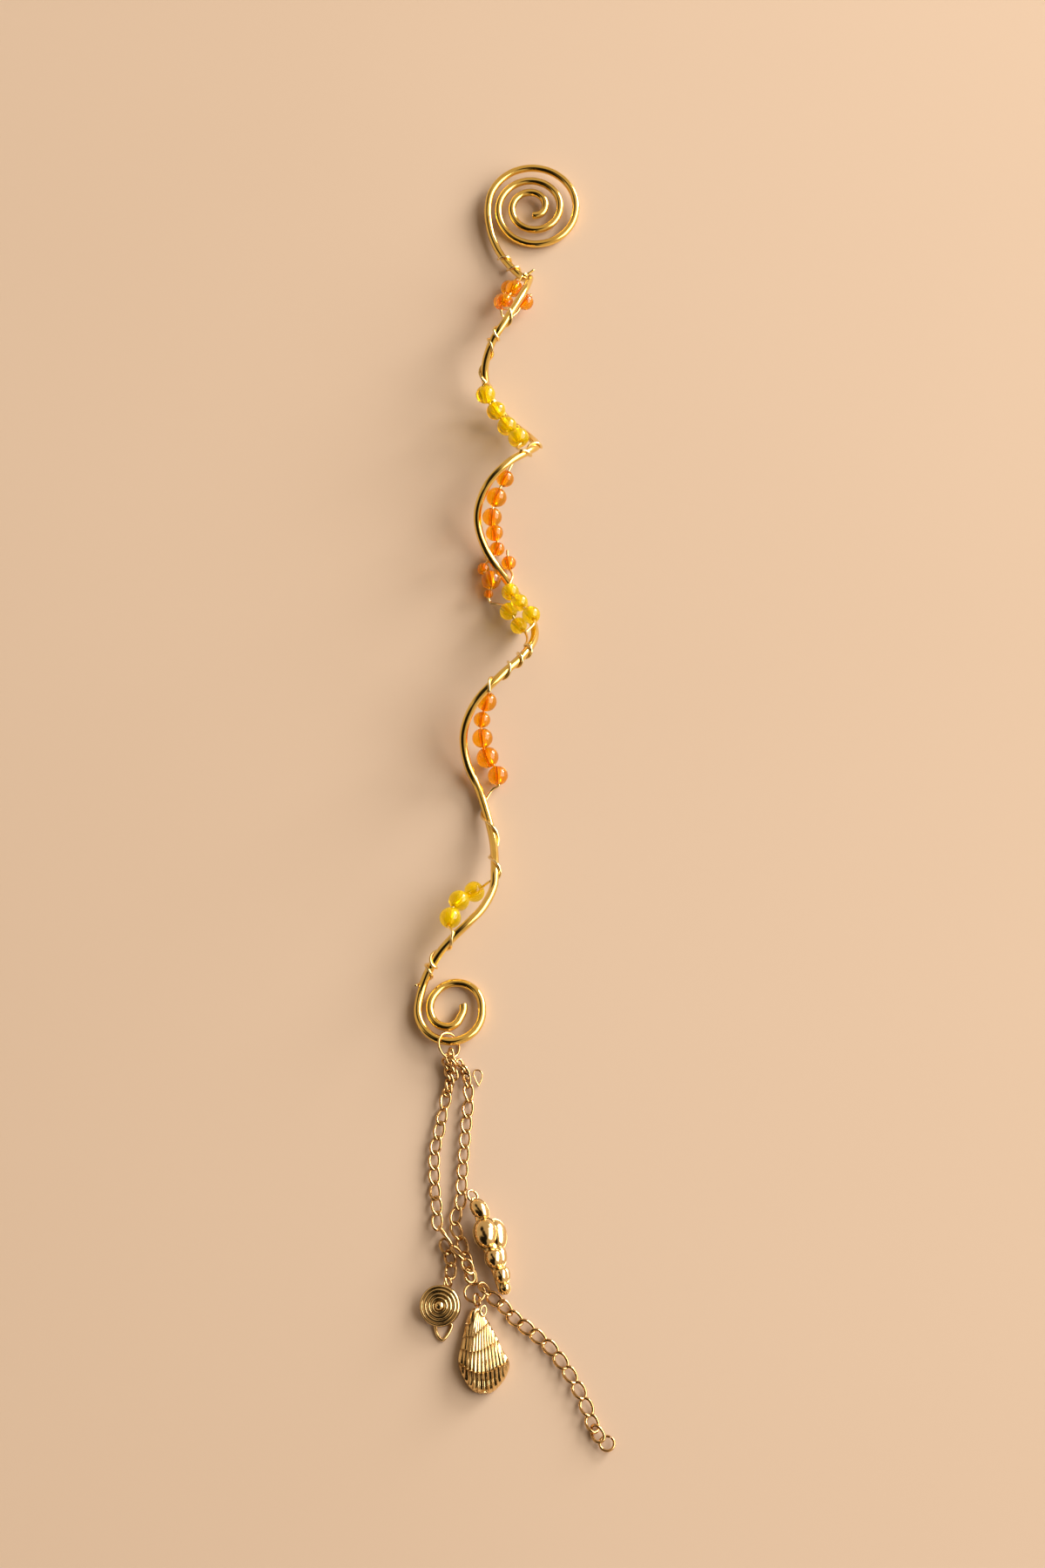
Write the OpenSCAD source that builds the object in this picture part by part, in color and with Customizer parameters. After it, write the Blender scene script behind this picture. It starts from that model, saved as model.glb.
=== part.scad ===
// Hair charm for a braid, in millimetres, lying flat with its beaded corkscrew along Y.
// A thick wire runs from a flat spiral at the far end, through a corkscrew that takes the braid,
// to a smaller flat spiral. Thin wire binds glass beads to it, and two chains carry three charms.

/* [Wire] */
// Thickness of the main wire
wire_d = 1.5; // [1.3:0.1:1.6]
// Thickness of the binding wire and of the rings
thread_d = 0.5; // [0.4:0.05:0.5]
// Sides of the main wire's section
wire_sides = 12; // [8:1:16]

/* [Corkscrew] */
// Height of the low passes above the table, measured at the wire's centre
coil_low = 1.35; // [1.3:0.05:1.5]
// Half of the rise from a low pass to a high one
coil_rise = 5; // [4.8:0.1:5.2]

/* [Beads] */
// Bore of every bead
bead_bore = 1.5; // [1.3:0.1:1.5]

/* [Chains] */
// Width of the two strands of chain
strand_w = 2.1; // [1.8:0.1:2.2]
// Width of the tail of chain
tail_w = 2.4; // [2:0.1:2.6]
// Height of a chain lying flat
chain_h = 1.4; // [1.1:0.1:1.5]

/* [Charms] */
// Diameter of the ringed disc charm
disc_d = 7; // [6.6:0.1:7.2]
// Thickness of the scallop shell charm
shell_h = 2.4; // [1.8:0.1:2.8]
// Size of the whelk charm's lobes against the drawn ones
whelk_scale = 1; // [0.9:0.02:1.04]

/* [Hidden] */
bright_gold = "gold";
pale_gold = "khaki";
wire_r = wire_d / 2;
ring_r = thread_d / 2;

// Distance from the main wire's centre to the binding wire's, with a small gap between them
wrap_gap = 0.12;
wrap_r = wire_r + ring_r + wrap_gap;

// Gap below the lowest turns, which keeps them just clear of the table
table_gap = 0.05;

// Width of the few loose links that cross between the charms
cross_w = 1.2;

// Wire of the teardrop and of the pointed link: its thickness and its height above the table
teardrop_d = 0.3;
teardrop_z = 0.5;
disc_link_d = 0.6;
disc_link_z = 0.36;

// Centre of the far spiral, and its radius after each quarter turn from the inner end
far_spiral = [4, 118.4];
far_radii = [1.6, 2.5, 3.5, 4.1, 4.8, 5.5, 6.1, 6.8, 8, 8.7, 9, 8.9];
far_slope = 0.105;
far_edge = 109.5;

// Bends between the far spiral and the corkscrew: x, y, z
lead_bends = [
    [-4.8, 115.4, 1.7], [-4.2, 112.2, 1.5], [-3.2, 109.3, 1.45], [-2, 106.9, 1.5],
    [-0.5, 104.8, 1.5], [1, 103, 1.6], [2.1, 101.6, 2.1], [2.9, 100.5, 3.3]
];

// Corkscrew after each quarter turn: y, x of its axis, half width, rise against coil_rise
coil_quarters = [
    [98.5, -0.9, 4.3, 1], [86.2, -0.9, 4.4, 1], [77.2, -0.5, 4.8, 1], [69.1, -0.5, 5.1, 1],
    [60.8, -0.6, 5.3, 1], [54, -0.8, 5.4, 1], [45.3, -1, 5.5, 1], [34.5, -1.1, 5.5, 1],
    [20.4, -1.3, 5.6, 1], [9.2, -2.3, 5.5, 1], [0.3, -3.6, 5.1, 1], [-9.8, -5.6, 4.8, 1],
    [-26.6, -7.6, 4.65, 0.92]
];

// Bends between the corkscrew and the near spiral: x, y, z
foot_bends = [
    [-3.3, -30.2, 6], [-5, -34, 6.8], [-7.4, -36.8, 7], [-10, -39.2, 6.4],
    [-12.2, -41.2, 5], [-13.9, -43.3, 3.2], [-15.1, -45.3, 2], [-16, -48, 1.1]
];

// Centre of the near spiral, and its radius after each eighth of a turn from the outer end
near_spiral = [-10.5, -51];
near_radii = [5.95, 6.15, 6.15, 5.8, 5.35, 5.45, 5, 4.2, 3.85, 3.8, 3.3, 2.2, 2.1, 2.3];
near_slope = 0.07;
near_edge = -45;

// Smooth curves through rows of numbers, where t counts the rows
function catmull(rows, t) =
    let (last = len(rows) - 1, i = min(max(floor(t), 0), last - 1), f = t - i)
    let (a = rows[max(i - 1, 0)], b = rows[i], c = rows[i + 1], d = rows[min(i + 2, last)])
    b + ((c - a) * f + (2 * a - 5 * b + 4 * c - d) * f * f + (3 * b - a - 3 * c + d) * f * f * f) / 2;
function curve(rows, step) = [for (t = [0:step:len(rows) - 1]) catmull(rows, t)];
function unit(v) = v / norm(v);

// The main wire's own keys: far spiral, lead, corkscrew, foot, near spiral
function far_key(quarter) =
    let (angle = 90 * quarter - 90, r = catmull(far_radii, quarter))
    let (x = far_spiral.x + r * cos(angle), y = far_spiral.y + r * sin(angle))
    [x, y, wire_r + table_gap + (y - far_edge) * far_slope];
function coil_key(quarter) =
    let (row = catmull(coil_quarters, quarter), angle = 90 * quarter)
    [row[1] + row[2] * cos(angle), row[0], coil_low + coil_rise * row[3] * (1 + sin(angle))];
function near_key(eighth) =
    let (angle = 180 + 45 * eighth, r = catmull(near_radii, eighth))
    let (x = near_spiral.x + r * cos(angle), y = near_spiral.y + r * sin(angle))
    [x, y, wire_r + table_gap + (near_edge - y) * near_slope];
far_keys = [for (quarter = [0:0.25:11]) far_key(quarter)];
coil_keys = [for (quarter = [0:0.5:12]) coil_key(quarter)];
near_keys = [for (eighth = [0:0.5:12.5]) near_key(eighth)];
main_keys = concat(far_keys, lead_bends, coil_keys, foot_bends, near_keys);
lead_start = len(far_keys);
coil_start = lead_start + len(lead_bends);
foot_start = coil_start + len(coil_keys);

// A point of the binding wire that has made some turns round the main wire at key t
function around(t, turn) =
    let (ahead = unit(catmull(main_keys, t + 0.05) - catmull(main_keys, t - 0.05)))
    let (side = unit(cross(ahead, [0, 0, 1])), up = cross(side, ahead))
    catmull(main_keys, t) + wrap_r * (cos(360 * turn) * up - sin(360 * turn) * side);

// The binding wire crosses over the main wire at each key listed, one full turn apart
function key_at(keys, turn) =
    let (i = min(max(floor(turn), 0), len(keys) - 2))
    keys[i] + (keys[i + 1] - keys[i]) * (turn - i);
function wrap(keys, first, last) =
    [for (turn = [first:0.125:last]) concat(around(key_at(keys, turn), turn), 0)];
function reversed(rows) = [for (i = [len(rows) - 1:-1:0]) rows[i]];

// Each binding wire: x, y, z, diameter of the bead there (0 is bare wire), name of the bead
first_binding = concat(
    wrap([lead_start + 3.3, lead_start + 4.5], -0.3, 1.5),
    [
        [-0.7, 99.3, 1.9, 3.2, "orange_top_1"], [-2, 94.9, 3.7, 3.4, "orange_top_2"],
        [-1.9, 92.3, 2.7, 0], [-0.5, 92.4, 2.1, 0], [0.8, 93.5, 2, 0],
        [2.5, 95.7, 2.6, 3.4, "orange_top_3"], [3.8, 97.2, 2.9, 0]
    ]
);
second_binding = concat(
    [[4.3, 102.4, 3.8, 0]],
    reversed(wrap([coil_start - 1.4, coil_start - 1.4], -0.1, 0.25)),
    [
        [0.4, 96.8, 5.5, 3.4, "orange_top_4"], [-1.5, 92.9, 6.8, 3.4, "orange_top_5"],
        [-1.5, 89.8, 9.4, 0]
    ],
    wrap([coil_start + 1.85, coil_start + 2.7, coil_start + 3, coil_start + 4.35], -0.1, 3.2),
    [
        [-4.9, 73.8, 8, 0], [-5.1, 71.9, 6.7, 3.8, "yellow_top_1"],
        [-3.1, 69.8, 4.2, 3.7, "yellow_top_2"], [-1, 66.3, 4.3, 3.8, "yellow_top_3"],
        [1.2, 63, 5.5, 4, "yellow_top_4"], [1, 60, 7.4, 0], [0.9, 58.6, 9.2, 0]
    ],
    wrap([coil_start + 9.3, coil_start + 8.4], -0.1, 1.3)
);
third_binding = concat(
    [
        [0.2, 55.4, 9.2, 0],
        [-1.3, 52.2, 8.7, 3.4, "orange_middle_1"], [-2.9, 48.7, 7.7, 3.9, "orange_middle_2"],
        [-3.7, 44.8, 7.1, 3.7, "orange_middle_3"], [-3.3, 43.2, 3.9, 3.3, "orange_middle_4"],
        [-2.8, 41, 1.6, 2.9, "orange_middle_5"], [-5.4, 36.9, 1.3, 2.3, "orange_middle_6"],
        [-3.9, 34.1, 2.1, 3.7, "orange_middle_7"], [-4.4, 31.7, 1, 1.8, "orange_middle_8"],
        [-4, 30, 0.7, 0], [-2.6, 29.4, 1.2, 0],
        [-0.6, 27.4, 2.2, 3.4, "yellow_middle_1"], [1.3, 24.6, 1.8, 3.2, "yellow_middle_2"],
        [2.6, 22.2, 3.4, 0], [2.9, 19.8, 5.4, 0]
    ],
    wrap([coil_start + 16.75, coil_start + 17.2, coil_start + 17.6, coil_start + 18.35], -0.3, 3.3),
    [
        [-4.6, 6.3, 7.2, 3.8, "orange_low_1"], [-5.4, 3.3, 5.7, 3.1, "orange_low_2"],
        [-5.3, -0.2, 5.3, 3.8, "orange_low_3"], [-4.4, -2.7, 2.3, 4.1, "orange_low_4"],
        [-2.5, -6.2, 2, 3.7, "orange_low_5"], [-3.5, -8.6, 1, 0]
    ],
    wrap([coil_start + 22.75, coil_start + 23.8], -0.6, 1.75),
    [
        [-6.6, -29.5, 3.2, 3.8, "yellow_low_1"], [-9.3, -31.8, 4.7, 3.8, "yellow_low_2"],
        [-10.8, -35.4, 5.5, 3.9, "yellow_low_3"]
    ],
    wrap([foot_start + 3.1, foot_start + 4.95, foot_start + 5.35, foot_start + 7.1], -0.1, 2.7),
    [[-16.9, -46.9, 2.1, 0]]
);
fourth_binding = [
    [-0.9, 40.4, 2.4, 0],
    [-0.6, 38, 1.6, 2.8, "orange_middle_9"], [0.1, 35, 1.9, 0],
    [-0.3, 30.6, 3.9, 3.3, "yellow_middle_3"], [1.4, 27.5, 5.5, 3.3, "yellow_middle_4"],
    [3.6, 24.1, 7.1, 3.4, "yellow_middle_5"], [4, 21.2, 8.8, 0], [2.6, 19.4, 9.4, 0]
];
bindings = [first_binding, second_binding, third_binding, fourth_binding];

// Chains, down the middle of the links: x, y, z
left_route = [
    [-11.4, -60.9, 1], [-11.1, -62, 0.8], [-10.7, -64.2, 0.75], [-11.1, -66, 0.75],
    [-11.9, -70, 0.75], [-12.6, -74, 0.75], [-13.2, -77, 0.75], [-13.2, -81.4, 0.75],
    [-13, -84.4, 0.75], [-12.7, -87, 0.8], [-12.6, -89.6, 0.9]
];
right_route = [
    [-9.1, -60.8, 1.1], [-8, -62.6, 0.8], [-7.6, -64.7, 0.75], [-7.4, -67.5, 0.75],
    [-7.8, -72.5, 0.75], [-8.2, -78, 0.75], [-8.5, -83, 0.75], [-8.7, -86, 0.75],
    [-9.4, -88.2, 0.75], [-9.5, -90.2, 0.75], [-8.5, -92.6, 0.75], [-7.8, -95, 0.75],
    [-7.2, -97.2, 0.75], [-6.6, -99, 0.75]
];
cross_route = [
    [-12, -91.4, 2.2], [-10.9, -92.8, 2.4], [-9.4, -94.8, 2.5], [-7.9, -96.7, 2.5],
    [-7, -98.4, 2.5]
];
drop_route = [
    [-11.4, -92.9, 0.75], [-10.9, -94.3, 0.75], [-10.2, -96.2, 0.75], [-10.2, -98.2, 0.8]
];
tail_route = [
    [-3.6, -102, 0.75], [-2.8, -102.7, 0.75], [-1.4, -103.8, 0.75], [0.8, -106.2, 0.75],
    [2.9, -107.8, 0.75], [5.2, -109.7, 0.75], [7.2, -111.6, 0.75], [8.8, -113.8, 0.75],
    [10.4, -116.3, 0.75], [11.9, -119.1, 0.75], [12.9, -121.6, 0.75], [13.7, -124, 0.75],
    [14.4, -125.4, 0.75]
];
chains = [
    ["left_chain", left_route, strand_w], ["right_chain", right_route, strand_w],
    ["cross_chain", cross_route, cross_w], ["drop_chain", drop_route, strand_w],
    ["tail_chain", tail_route, tail_w]
];

// Round rings: name, centre, radius to the middle of the wire, tilts about X, Y and Z
rings = [
    ["jump_ring", [-10.9, -57.9, 1.7], 2.25, [0, 38, 0]],
    ["whelk_ring", [-6.6, -85, 1.6], 1, [0, 35, 20]],
    ["disc_ring", [-10.6, -99.9, 1.6], 0.9, [0, 60, 15]],
    ["cluster_ring", [-6.1, -101.8, 1.5], 1.7, [-10, 0, 0]],
    ["shell_ring", [-5.7, -103.1, 1.6], 1, [0, 60, 0]],
    ["tail_ring", [16, -127, 0.75], 1.2, [0, 0, 0]]
];

// Thin pointed loop beside the right chain: x, y
teardrop_points = [
    [-5.7, -65], [-6.2, -63.9], [-6.6, -62.8], [-6.3, -62.1], [-5.6, -62.1], [-5.1, -62.7],
    [-5.2, -63.8]
];

// Disc charm: middle of its back, lean, and the ridges as share of disc_d and height
disc_place = [-11.8, -104.1, 1.5];
disc_lean = [12, -12, 0];
disc_ridges = [[0.46, 0.65], [0.37, 0.8], [0.28, 0.95], [0.18, 1.05]];
disc_ridge_d = 0.6;
disc_ball_d = 1.8;

// Steps of its plate: how far each one's edge lies inside disc_d, and its height
disc_steps = [[0.25, 1], [1.2, 1.15]];

// Pointed link below the disc: x, y
disc_link_points = [
    [-12.7, -107], [-12.6, -108], [-12.2, -109], [-11.5, -109.6], [-10.8, -109], [-10.2, -108],
    [-10, -107], [-11.3, -106.7]
];

// Tapering body of the whelk, then its lobes, as ellipsoids: x, y, z, half sizes along X, Y and Z, turn
whelk_lobes = [
    [-4, -92.2, 1.9, 2, 3.4, 1.75, 17], [-2.7, -96.9, 1.7, 1.65, 3, 1.5, 17],
    [-1.4, -100, 1.6, 1.1, 2, 1.2, 10],
    [-5, -88, 2.3, 1.3, 2.2, 1.4, 32], [-4.4, -92, 2.6, 2.1, 2.5, 1.9, 8],
    [-2.9, -91.4, 1.9, 1.9, 2.3, 1.7, 12], [-3.1, -95.6, 2.3, 1.3, 1.9, 1.4, 15],
    [-2.1, -94.9, 1.8, 1.4, 1.8, 1.5, 18], [-1.5, -98.3, 1.9, 1.1, 1.7, 1.2, 18],
    [-0.8, -98.4, 1.5, 1, 1.4, 1.2, 18], [-0.7, -100.6, 1.3, 0.8, 1.2, 0.9, 20]
];

// Scallop shell from its top to its foot: y, x of the middle, half width, share of shell_h
shell_sections = [
    [-104.4, -5.8, 0.8, 0.35], [-106.1, -5.7, 1.7, 0.6], [-109.2, -5.2, 2.9, 0.82],
    [-111, -5, 3.5, 0.92], [-113.5, -4.5, 4.3, 1], [-115.5, -4.4, 3.8, 0.95],
    [-117, -4.45, 2.95, 0.8], [-118.2, -4.5, 1.8, 0.6], [-118.7, -4.4, 0.7, 0.4]
];

// Height of the shell's edge above the table, and how far its back swells below that
shell_edge_z = 0.45;
shell_back = 0.4;

bead_names = [for (binding = bindings, row = binding) if (row[3] > 0) row[4]];

// Walls between rings of points that follow one another, with flat ends
module loft(rows) {
    sides = len(rows[0]);
    last = (len(rows) - 1) * sides;
    walls = [
        for (i = [0:len(rows) - 2], k = [0:sides - 1])
            let (a = i * sides + k, b = i * sides + (k + 1) % sides)
            each [[a, b, b + sides], [a, b + sides, a + sides]]
    ];
    first_end = [for (k = [1:sides - 2]) [0, k + 1, k]];
    last_end = [for (k = [1:sides - 2]) [last, last + k, last + k + 1]];
    polyhedron([for (row = rows) each row], concat(walls, first_end, last_end), convexity = 10);
}

// An oval section carried along points, kept level by turning it as little as possible
function directions(points) =
    let (last = len(points) - 1)
    [for (i = [0:last]) unit(points[min(i + 1, last)] - points[max(i - 1, 0)])];
function leaned(up, ahead) = unit(up - (up * ahead) * ahead);
function ups(ahead) = [
    for (i = 0, up = leaned([0, 0, 1], ahead[0]); i < len(ahead);
        i = i + 1, up = i < len(ahead) ? leaned(up, ahead[i]) : up) up
];
module sweep(points, width, height, sides) {
    ahead = directions(points);
    up = ups(ahead);
    loft([
        for (i = [0:len(points) - 1])
            let (side = cross(ahead[i], up[i]))
            [for (k = [0:sides - 1])
                points[i] + side * cos(360 * k / sides) * width / 2
                + up[i] * sin(360 * k / sides) * height / 2]
    ]);
}

// A round rod along a closed flat loop of points
module closed_rod(points, d, sides) {
    count = len(points);
    spots = [
        for (i = [0:count - 1])
            let (ahead = unit(points[(i + 1) % count] - points[(i + count - 1) % count]))
            let (side = cross(ahead, [0, 0, 1]))
            for (k = [0:sides - 1])
                points[i] + (side * cos(360 * k / sides) + [0, 0, sin(360 * k / sides)]) * d / 2
    ];
    walls = [
        for (i = [0:count - 1], k = [0:sides - 1])
            let (j = (i + 1) % count, next = (k + 1) % sides)
            let (a = i * sides + k, b = i * sides + next, c = j * sides + next, e = j * sides + k)
            each [[a, b, c], [a, c, e]]
    ];
    polyhedron(spots, walls, convexity = 6);
}

// A binding wire passes each bead through its centre, and the gap between beads halfway
function place(row) = [row[0], row[1], row[2]];
function bore_direction(rows, i) =
    unit(unit(place(rows[i + 1]) - place(rows[i])) + unit(place(rows[i]) - place(rows[i - 1])));
function mouth(rows, i, end) = place(rows[i]) + bore_direction(rows, i) * end * rows[i][3] / 2;
function binding_keys(rows) = [
    for (i = [0:len(rows) - 1])
        let (after_bead = i > 0 && rows[i - 1][3] > 0)
        let (before_bead = rows[min(i + 1, len(rows) - 1)][3] > 0)
        each rows[i][3] == 0 ? [place(rows[i])] : concat(
            after_bead ? [] : [mouth(rows, i, -1)],
            [mouth(rows, i, -0.5), mouth(rows, i, 0.5)],
            before_bead ? [(mouth(rows, i, 1) + mouth(rows, i + 1, -1)) / 2] : [mouth(rows, i, 1)]
        )
];

module main_wire() {
    color(bright_gold)
        sweep(curve(main_keys, 0.5), wire_d, wire_d, wire_sides);
}

module binding_wire(rows) {
    color(bright_gold)
        sweep(curve(binding_keys(rows), 0.5), thread_d, thread_d, 8);
}

module bead(rows, i) {
    along = bore_direction(rows, i);
    size = rows[i][3];
    color(rows[i][4][0] == "o" ? "darkorange" : "goldenrod")
        translate(place(rows[i]))
            rotate([0, acos(along.z), atan2(along.y, along.x)])
                difference() {
                    sphere(d = size, $fn = 48);
                    cylinder(d = min(bead_bore, 0.65 * size), h = size + 1, center = true, $fn = 24);
                }
}

module chain(route, width) {
    color(pale_gold)
        sweep(curve(route, 0.5), width, chain_h, 8);
}

module ring(centre, radius, tilt) {
    color(pale_gold)
        translate(centre)
            rotate(tilt)
                rotate_extrude($fn = 48)
                    translate([radius, 0])
                        circle(d = thread_d, $fn = 24);
}

// A thin loop of wire that lies flat at height z
module flat_loop(corners, z, d) {
    closed = concat(corners, [corners[0]]);
    points = [for (t = [0:0.5:len(corners) - 0.5]) concat(catmull(closed, t), z)];
    color(pale_gold)
        closed_rod(points, d, 8);
}

module teardrop_loop() {
    flat_loop(teardrop_points, teardrop_z, teardrop_d);
}

module whelk_charm() {
    color(pale_gold)
        for (lobe = whelk_lobes)
            translate([lobe[0], lobe[1], lobe[2]])
                rotate([0, 0, lobe[6]])
                    scale([lobe[3], lobe[4], lobe[5]] * whelk_scale)
                        sphere(r = 1, $fn = 20);
}

// A low dome on a disc with raised rings, leaning so that its far right edge is up
module disc_charm() {
    color(pale_gold)
        translate(disc_place)
            rotate(disc_lean)
                rotate_extrude($fn = 64)
                    intersection() {
                        union() {
                            for (plate = disc_steps)
                                square([disc_d / 2 - plate[0], plate[1]]);
                            for (ridge = disc_ridges)
                                translate([ridge[0] * disc_d, ridge[1]])
                                    circle(d = disc_ridge_d, $fn = 24);
                            translate([0, disc_ball_d / 2])
                                circle(d = disc_ball_d, $fn = 32);
                        }
                        translate([0, -1])
                            square([disc_d, 5]);
                    }
}

module disc_link() {
    flat_loop(disc_link_points, disc_link_z, disc_link_d);
}

module shell_charm() {
    sides = 24;
    color(pale_gold)
        loft([
            for (t = [0:0.5:len(shell_sections) - 1])
                let (row = catmull(shell_sections, t))
                [for (k = [0:sides - 1])
                    let (rise = sin(360 * k / sides))
                    let (height = rise > 0 ? shell_h * row[3] : shell_back)
                    [row[1] - row[2] * cos(360 * k / sides), row[0], shell_edge_z + rise * height]]
        ]);
}

main_wire();
binding_wire(first_binding);  // first_wire
binding_wire(second_binding);  // second_wire
binding_wire(third_binding);  // third_wire
binding_wire(fourth_binding);  // fourth_wire
for (rows = bindings, i = [0:len(rows) - 1])
    if (rows[i][3] > 0)
        bead(rows, i);
for (row = chains)
    chain(row[1], row[2]);
for (row = rings)
    ring(row[1], row[2], row[3]);
teardrop_loop();
whelk_charm();
disc_charm();
disc_link();
shell_charm();
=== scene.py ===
"""Looks of the braid hair charm: bent gold wire, glass beads on thin wire, chains and cast charms."""

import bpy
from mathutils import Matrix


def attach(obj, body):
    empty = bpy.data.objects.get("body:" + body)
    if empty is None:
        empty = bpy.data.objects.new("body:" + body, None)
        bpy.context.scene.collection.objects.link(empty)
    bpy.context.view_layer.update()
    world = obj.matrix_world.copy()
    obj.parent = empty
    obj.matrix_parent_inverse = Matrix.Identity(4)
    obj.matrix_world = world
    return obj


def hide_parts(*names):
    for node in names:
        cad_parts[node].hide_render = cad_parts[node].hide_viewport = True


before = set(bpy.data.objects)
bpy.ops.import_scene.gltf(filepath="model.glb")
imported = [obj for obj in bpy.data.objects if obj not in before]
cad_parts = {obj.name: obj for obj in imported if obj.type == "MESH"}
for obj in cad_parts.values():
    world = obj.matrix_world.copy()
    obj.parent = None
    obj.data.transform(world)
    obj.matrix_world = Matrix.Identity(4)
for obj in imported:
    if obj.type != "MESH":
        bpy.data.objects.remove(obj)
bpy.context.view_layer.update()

import math

import bmesh
import bpy
import numpy as np
from mathutils import Euler, Vector

# Sizes below are in millimetres, as in the part's source, and meshes are made in metres
MM = 0.001
# The main wire is a little thinner than the part's own, which keeps it inside the part's box
WIRE_R = 0.745
THREAD_R = 0.25
BORE_R = 0.5
# Length of a bead over its diameter
BEAD_LENGTH = 0.95
LINK_WIRE = 0.52
# How far the spirals, the links of chain and the shell stay above the table
SPIRAL_GAP = 0.05
LINK_GAP = 0.06
SHELL_GAP = 0.08
# How much a cut end of wire is rounded, and how near to it no other section of the wire comes
END_WORN = 0.12
END_CLEAR = 0.25
# Points of a mesh closer together than this, in metres, become one
MERGE = 2e-7

# Main wire, as in the part's source
FAR_SPIRAL = (4, 118.4)
FAR_RADII = [1.6, 2.5, 3.5, 4.1, 4.8, 5.5, 6.1, 6.8, 8, 8.7, 9, 8.9]
FAR_SLOPE = 0.105
FAR_EDGE = 109.5
LEAD_BENDS = [
    [-4.8, 115.4, 1.7], [-4.2, 112.2, 1.5], [-3.2, 109.3, 1.45], [-2, 106.9, 1.5],
    [-0.5, 104.8, 1.5], [1, 103, 1.6], [2.1, 101.6, 2.1], [2.9, 100.5, 3.3],
]
COIL_LOW = 1.35
COIL_RISE = 5
# After each quarter turn: y, x of the axis, half width, share of the rise
COIL_QUARTERS = [
    [98.5, -0.9, 4.3, 1], [86.2, -0.9, 4.4, 1], [77.2, -0.5, 4.8, 1], [69.1, -0.5, 5.1, 1],
    [60.8, -0.6, 5.3, 1], [54, -0.8, 5.4, 1], [45.3, -1, 5.5, 1], [34.5, -1.1, 5.5, 1],
    [20.4, -1.3, 5.6, 1], [9.2, -2.3, 5.5, 1], [0.3, -3.6, 5.1, 1], [-9.8, -5.6, 4.8, 1],
    [-26.6, -7.6, 4.65, 0.92],
]
FOOT_BENDS = [
    [-3.3, -30.2, 6], [-5, -34, 6.8], [-7.4, -36.8, 7], [-10, -39.2, 6.4],
    [-12.2, -41.2, 5], [-13.9, -43.3, 3.2], [-15.1, -45.3, 2], [-16, -48, 1.1],
]
NEAR_SPIRAL = (-10.5, -51)
NEAR_RADII = [5.95, 6.15, 6.15, 5.8, 5.35, 5.45, 5, 4.2, 3.85, 3.8, 3.3, 2.2, 2.1, 2.3]
NEAR_SLOPE = 0.07
NEAR_EDGE = -45

# Chains, down the middle of their links, as in the part's source
LEFT_ROUTE = [
    [-11.4, -60.9, 1], [-11.1, -62, 0.8], [-10.7, -64.2, 0.75], [-11.1, -66, 0.75],
    [-11.9, -70, 0.75], [-12.6, -74, 0.75], [-13.2, -77, 0.75], [-13.2, -81.4, 0.75],
    [-13, -84.4, 0.75], [-12.7, -87, 0.8], [-12.6, -89.6, 0.9],
]
RIGHT_ROUTE = [
    [-9.1, -60.8, 1.1], [-8, -62.6, 0.8], [-7.6, -64.7, 0.75], [-7.4, -67.5, 0.75],
    [-7.8, -72.5, 0.75], [-8.2, -78, 0.75], [-8.5, -83, 0.75], [-8.7, -86, 0.75],
    [-9.4, -88.2, 0.75], [-9.5, -90.2, 0.75], [-8.5, -92.6, 0.75], [-7.8, -95, 0.75],
    [-7.2, -97.2, 0.75], [-6.6, -99, 0.75],
]
# Loose links of the cross chain: x, y, z, heading, half length, half width, roll
CROSS_LINKS = [
    [-11.1, -92.2, 2.2, -55, 1.95, 0.75, 78], [-8.9, -95.2, 2.3, -48, 1.6, 0.85, 55],
    [-7.3, -97.5, 2.3, -62, 1.4, 0.9, 20], [-6.9, -99.3, 2.1, -85, 0.95, 0.8, 8],
]
# Links on the jump ring, where the two strands start, in the same columns
FIRST_LINKS = [
    [-11, -60.3, 1.5, -80, 0.95, 0.6, 45], [-10.6, -59.5, 2, -85, 0.9, 0.55, -40],
    [-10.2, -60.5, 1.7, -60, 1.1, 0.6, 55], [-10.1, -61.8, 1.2, -75, 1, 0.6, 60],
    [-9.9, -63, 1, -80, 1, 0.6, -40],
]
DROP_ROUTE = [
    [-11.4, -92.9, 0.75], [-10.9, -94.3, 0.75], [-10.2, -96.2, 0.75], [-10.2, -98.2, 0.8],
]
TAIL_ROUTE = [
    [-3.6, -102, 0.75], [-2.8, -102.7, 0.75], [-1.4, -103.8, 0.75], [0.8, -106.2, 0.75],
    [2.9, -107.8, 0.75], [5.2, -109.7, 0.75], [7.2, -111.6, 0.75], [8.8, -113.8, 0.75],
    [10.4, -116.3, 0.75], [11.9, -119.1, 0.75], [12.9, -121.6, 0.75], [13.7, -124, 0.75],
    [14.4, -125.4, 0.75],
]
# First link of the tail, in the columns of the cross chain's
TAIL_FIRST_LINK = [-4.4, -101.1, 1.2, -52, 1.3, 0.8, 35]
# How far links turn about their route by chance, in degrees
ROLL_SPREAD = 9
# Gap between the cut ends of a ring, and where round the ring it was cut, in radians
RING_GAP = 0.12
RING_CUT = 1
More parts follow.
